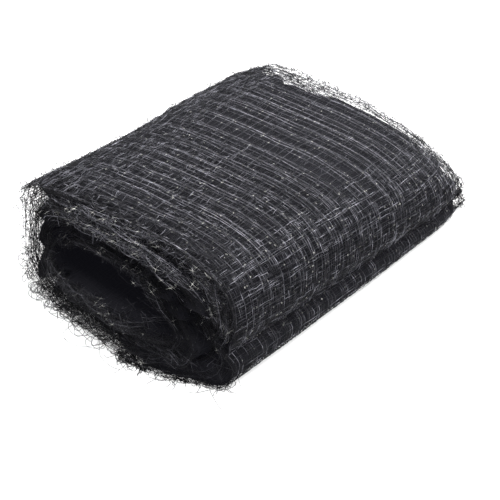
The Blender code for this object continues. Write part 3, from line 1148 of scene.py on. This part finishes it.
def loose_net():
    """Short strands of slack net that lie this way and that on the outer face."""
    parts = []
    for rng, zone in seeded_rows(LOOSE, 840):
        count = zone["count"]
        run, across = drawn_places(rng, zone)
        crossing = rng.uniform(size=count) < zone["crossing"]
        angle = np.where(crossing, np.pi / 2.0, 0.0) + rng.normal(0.0, LOOSE_TURNING, count)
        length = zone["length"] * rng.uniform(0.5, 1.5, count)
        bow = rng.normal(0.0, LOOSE_BOW, count) * length
        t = np.linspace(-0.5, 0.5, 3)
        hump = 1.0 - 4.0 * t * t
        ahead = length[:, None] * t
        aside = bow[:, None] * hump
        cos, sin = np.cos(angle)[:, None], np.sin(angle)[:, None]
        run = np.clip(run[:, None] + ahead * cos - aside * sin, 0.0, PATH_LENGTH)
        across = np.clip(across[:, None] + ahead * sin + aside * cos, 0.0, STRIP_WIDTH)
        lift = band_lift(run, across) + rng.uniform(*LOOSE_LIFT, (count, 1)) + LOOSE_HUMP * hump
        level = zone["level"] * drawn_light(rng, (count, 1), LOOSE_LIGHT)
        parts.append(strand_arrays(places_at(run, across, lift), LOOSE_RADIUS, level))
    return {"net_loose": parts}


# ---- The ends and their fringe ----


def end_places(end, run, back, deeper):
    """Places on the strip at one of its ends, back from its edge."""
    return places_at(run, end["edge"] + end["inward"] * back, 0.0, deeper)


def fold_edge(rng, end, depth):
    """Places on one fold's edge, where its loops turn back."""
    rows = np.arange(0.0, PATH_LENGTH - 0.002, LOOP_SPACING)
    run = rows + rng.uniform(0.0, 0.004) + rng.normal(0.0, 0.0025, len(rows))
    run = on_strip(np.sort(run))
    turn = turn_at(run)
    back = read(INSETS, end["name"], turn) * FOLD_INSET_SHARE + end["uneven"] * drawn_ripple(rng, 0.05, run)
    back = back - read(REACHES, "reach", turn) * rng.uniform(0.0, 1.0, len(rows)) ** 3
    back = back - rng.exponential(0.0006, len(rows))
    return end_places(end, run, back, depth + rng.normal(0.0, FOLD_SCATTER, len(rows)))


def fold_loops(rng, end, edge, gap):
    """Strands that come out of the strip on one layer, turn back at a fold, and go in on the next."""
    run, across, _, deeper = edge.T
    width = np.abs(rng.normal(0.0, LOOP_WIDTH, len(run))) + LEAST_LOOP_WIDTH
    skew = rng.normal(0.0, LOOP_SKEW, len(run))
    legs = end["legs"] * rng.uniform(0.6, 1.1, len(run))
    paths = []
    for angle in np.linspace(-np.pi / 2.0, np.pi / 2.0, 5):
        away = 1.0 - np.cos(angle)
        path_run = run + width * np.sin(angle) + skew * away
        path_across = across + end["inward"] * legs * away
        paths.append(places_at(path_run, path_across, 0.0, deeper + 0.5 * gap * np.sin(angle)))
    return np.stack(paths, axis=1)


def edge_lines(rng, end, depth):
    """Long smooth strands along the strip, near its edge, at one fold's depth."""
    rows = np.arange(0.0, PATH_LENGTH - 0.004, KNOT_SPACING)
    lines = []
    for _ in range(end["lines"]):
        run = on_strip(rows + rng.normal(0.0, 0.0008, len(rows)))
        back = rng.uniform(*LINE_BACK)
        back = back + LINE_WANDER * drawn_ripple(rng, 0.16, run)
        deeper = depth + LINE_DEPTH_WANDER * drawn_ripple(rng, 0.12, run)
        lines.append(end_places(end, run, back, deeper))
    return smooth_path(np.stack(lines), 3)


def curl_arrays(rng, places, outward, length, turning, radius=LOOSE_RADIUS):
    """Loose curled strands that start at places and lean outward, a little along the winding."""
    starts, normals = on_winding(places)
    count = len(starts)
    turning = np.radians(turning)
    steps = int(turning / CURL_STEP) + 4
    along = np.cross(normals, (1.0, 0.0, 0.0)) * rng.choice((-1.0, 1.0), (count, 1))
    heading = unit(outward + CURL_ALONG * along + rng.normal(0.0, CURL_SCATTER, (count, 3)))
    axis = unit(rng.normal(0.0, 1.0, (count, 3)))
    side = unit(np.cross(axis, heading))
    sizes = length * rng.uniform(*CURL_LENGTHS, (count, 1)) / (steps - 1)
    bend = turning * rng.uniform(*CURL_TURNINGS, (count, 1)) / (steps - 1)
    wave = rng.normal(0.0, CURL_WAVE, (count, steps))
    points = [starts]
    for step in range(steps - 1):
        angle = bend * step + wave[:, step : step + 1]
        points.append(points[-1] + sizes * (heading * np.cos(angle) + side * np.sin(angle)))
    level = zone_painted_light(places)[:, None] * drawn_light(rng, (count, 1), FEW_LIGHT)
    return tube_arrays(kept_close(np.stack(points, axis=1)), radius, level)


def edge_curls(rng, end):
    """Curls along a whole edge of the strip, at any depth."""
    count = end["curls"]
    run = rng.uniform(0.0, PATH_LENGTH - 0.002, count)
    back = rng.uniform(*END_CURL_BACK, count)
    places = end_places(end, run, back, rng.uniform(end["first"], end["last"], count))
    outward = np.array((-end["inward"] * END_CURL_LEAN, 0.0, 0.0))
    return curl_arrays(rng, places, outward, END_CURL_LENGTH, END_CURL_TURNING)


def fringe_parts(table, radius, seed):
    """Curls that stand out from the winding's outer face."""
    parts = []
    for rng, zone in seeded_rows(table, seed):
        run, across = drawn_places(rng, zone)
        lift = rng.uniform(0.0, FRINGE_LIFT, zone["count"])
        places = places_at(run, across, lift, rng.uniform(0.0, FRINGE_DEPTH, zone["count"]))
        outward = on_winding(places)[1] * FRINGE_OUTWARD + np.array((zone["lean"], 0.0, 0.0))
        parts.append(curl_arrays(rng, places, outward, zone["length"], zone["turning"], radius))
    return parts


def stray_paths(rng, zone):
    """Places on long stray strands that hang out of the open end and run along it."""
    column = (zone["count"], 1)
    t = np.linspace(0.0, 1.0, 7)
    run = run_at(drawn(rng, zone, "turn", column))
    run = on_strip(run + rng.uniform(-STRAY_LENGTH, STRAY_LENGTH, column) * (t - 0.5))
    out = rng.uniform(*STRAY_BULGE, column) * np.sin(np.pi * t)
    across = STRAY_START - out + rng.normal(0.0, STRAY_SCATTER, run.shape)
    deeper = drawn(rng, zone, "deeper", column) + rng.uniform(-0.15, 0.15, column) * t
    return places_at(run, across, 0.0, deeper + rng.normal(0.0, STRAY_DEPTH_SCATTER, run.shape))


def stray_rungs(rng, zone):
    """Places on short straight strands that cross the stray ones."""
    column = (RUNGS_PER_STRAY * zone["count"], 1)
    t = np.linspace(-0.5, 0.5, 3)
    run = run_at(drawn(rng, zone, "turn", column)) + rng.normal(0.0, RUNG_SLANT, column) * t
    across = rng.uniform(*RUNG_ACROSS, column) + rng.normal(0.0, RUNG_SLANT, column) * t
    deeper = drawn(rng, zone, "deeper", column) + rng.uniform(*RUNG_DEPTH, column) * t
    return places_at(on_strip(run), across, 0.0, deeper)


def stray_net():
    """Stray strands with painted light and shade, and knots with a painted glint, along the tiers of the open
    end.
    """
    strands, crosses = [], []
    for rng, zone in seeded_rows(STRAYS, 900):
        paths = stray_paths(rng, zone)
        level = zone["level"] * drawn_light(rng, (len(paths), 1), STRAY_LIGHT)
        strands.append(strand_arrays(smooth_path(paths, 2), STRAY_RADIUS, level))
        rungs = stray_rungs(rng, zone)
        level = zone["level"] * drawn_light(rng, (len(rungs), 1), RUNG_LIGHT)
        strands.append(strand_arrays(rungs, STRAY_RADIUS, level))
        crosses.append(knot_arrays(paths, rng, zone["star_share"], STAR_PAINTED_GLINT * zone["level"], STAR_SIZE))
    return {"net_strays": strands, "net_stray_knots": crosses}


def end_net(end):
    """The folds of net that show at one end of the winding, their loops, lines, knots and curls."""
    strands, crosses = [], []
    depths = np.linspace(end["first"], end["last"], end["folds"])
    for number, depth in enumerate(depths):
        rng = np.random.default_rng(end["seed"] + number)
        edge = fold_edge(rng, end, depth)
        loops = fold_loops(rng, end, edge, depths[1] - depths[0])
        lines = edge_lines(rng, end, depth)
        for path, share in ((loops, LOOP_LIGHT), (lines, 1.0)):
            level = share * zone_painted_light(path) * drawn_light(rng, (len(path), 1), FEW_LIGHT)
            strands.append(strand_arrays(path, CROSS_RADIUS, level))
        level = FOLD_KNOT_PAINTED_GLINT * zone_painted_light(edge[None])
        crosses.append(knot_arrays(edge[None], rng, FOLD_KNOT_SHARE, level))
    strands.append(edge_curls(np.random.default_rng(end["seed"] + 90), end))
    name = f"net_{end['name']}"
    return {name: strands, f"{name}_knots": crosses}


# ---- Floor, light and camera ----


def make_floor():
    """A white floor, lit from below a little so that the shadow on it stays faint."""
    material, tree, shader = principled("floor")
    fill(tree, shader, {"Base Color": (0.35, 0.35, 0.35, 1.0), "Roughness": 0.9})
    fill(tree, shader, {"Emission Color": (1.0, 1.0, 1.0, 1.0), "Emission Strength": 0.6})
    bpy.ops.mesh.primitive_plane_add(size=8.0, location=(0.0, 0.0, 0.0))
    floor = bpy.context.object
    floor.name = "floor"
    floor.data.materials.append(material)


def make_lights():
    for row in rows_of(LIGHTS):
        light = bpy.data.lights.new(row["name"], "AREA")
        light.shape = "SQUARE"
        light.size = row["size"]
        light.energy = row["power"]
        lamp = new_object(row["name"], light)
        lamp.location = row["place"]
        direction = Vector(np.array(row["target"]) - np.array(row["place"]))
        lamp.rotation_euler = direction.to_track_quat("-Z", "Y").to_euler()
    world = bpy.data.worlds.new("studio")
    world.use_nodes = True
    sky = world.node_tree.nodes["Background"]
    fill(world.node_tree, sky, {"Color": (0.95, 0.97, 1.0, 1.0), "Strength": 0.3})
    bpy.context.scene.world = world


def make_camera():
    data = bpy.data.cameras.new("camera")
    data.lens = CAMERA_LENS
    data.sensor_width = 36.0
    camera = new_object("camera", data)
    camera.location = CAMERA_PLACE
    camera.rotation_euler = (np.radians(90.0 - CAMERA_PITCH), 0.0, np.radians(CAMERA_TURN))
    bpy.context.scene.camera = camera


def main():
    make_camera()
    strands = strand_material("net_strands", *STRAND_LOOK)
    knots = strand_material("net_knots", *KNOT_LOOK)
    inside = make_inside(inside_material())
    open_end, closed_end = rows_of(ENDS)
    net = {
        **outer_net(),
        **weave_net(),
        **loose_net(),
        **end_net(open_end),
        **stray_net(),
        "net_low_fringe": fringe_parts(LOW_FRINGE, FRINGE_RADIUS, 950),
        "net_edge_fringe": fringe_parts(EDGE_FRINGE, EDGE_FRINGE_RADIUS, 970),
        **end_net(closed_end),
    }
    look = {True: knots, False: strands}
    pieces = [net_piece(name, parts, look[name.endswith("knots")]) for name, parts in net.items()]
    make_floor()
    make_lights()
    bpy.context.scene.view_settings.view_transform = "Standard"


main()
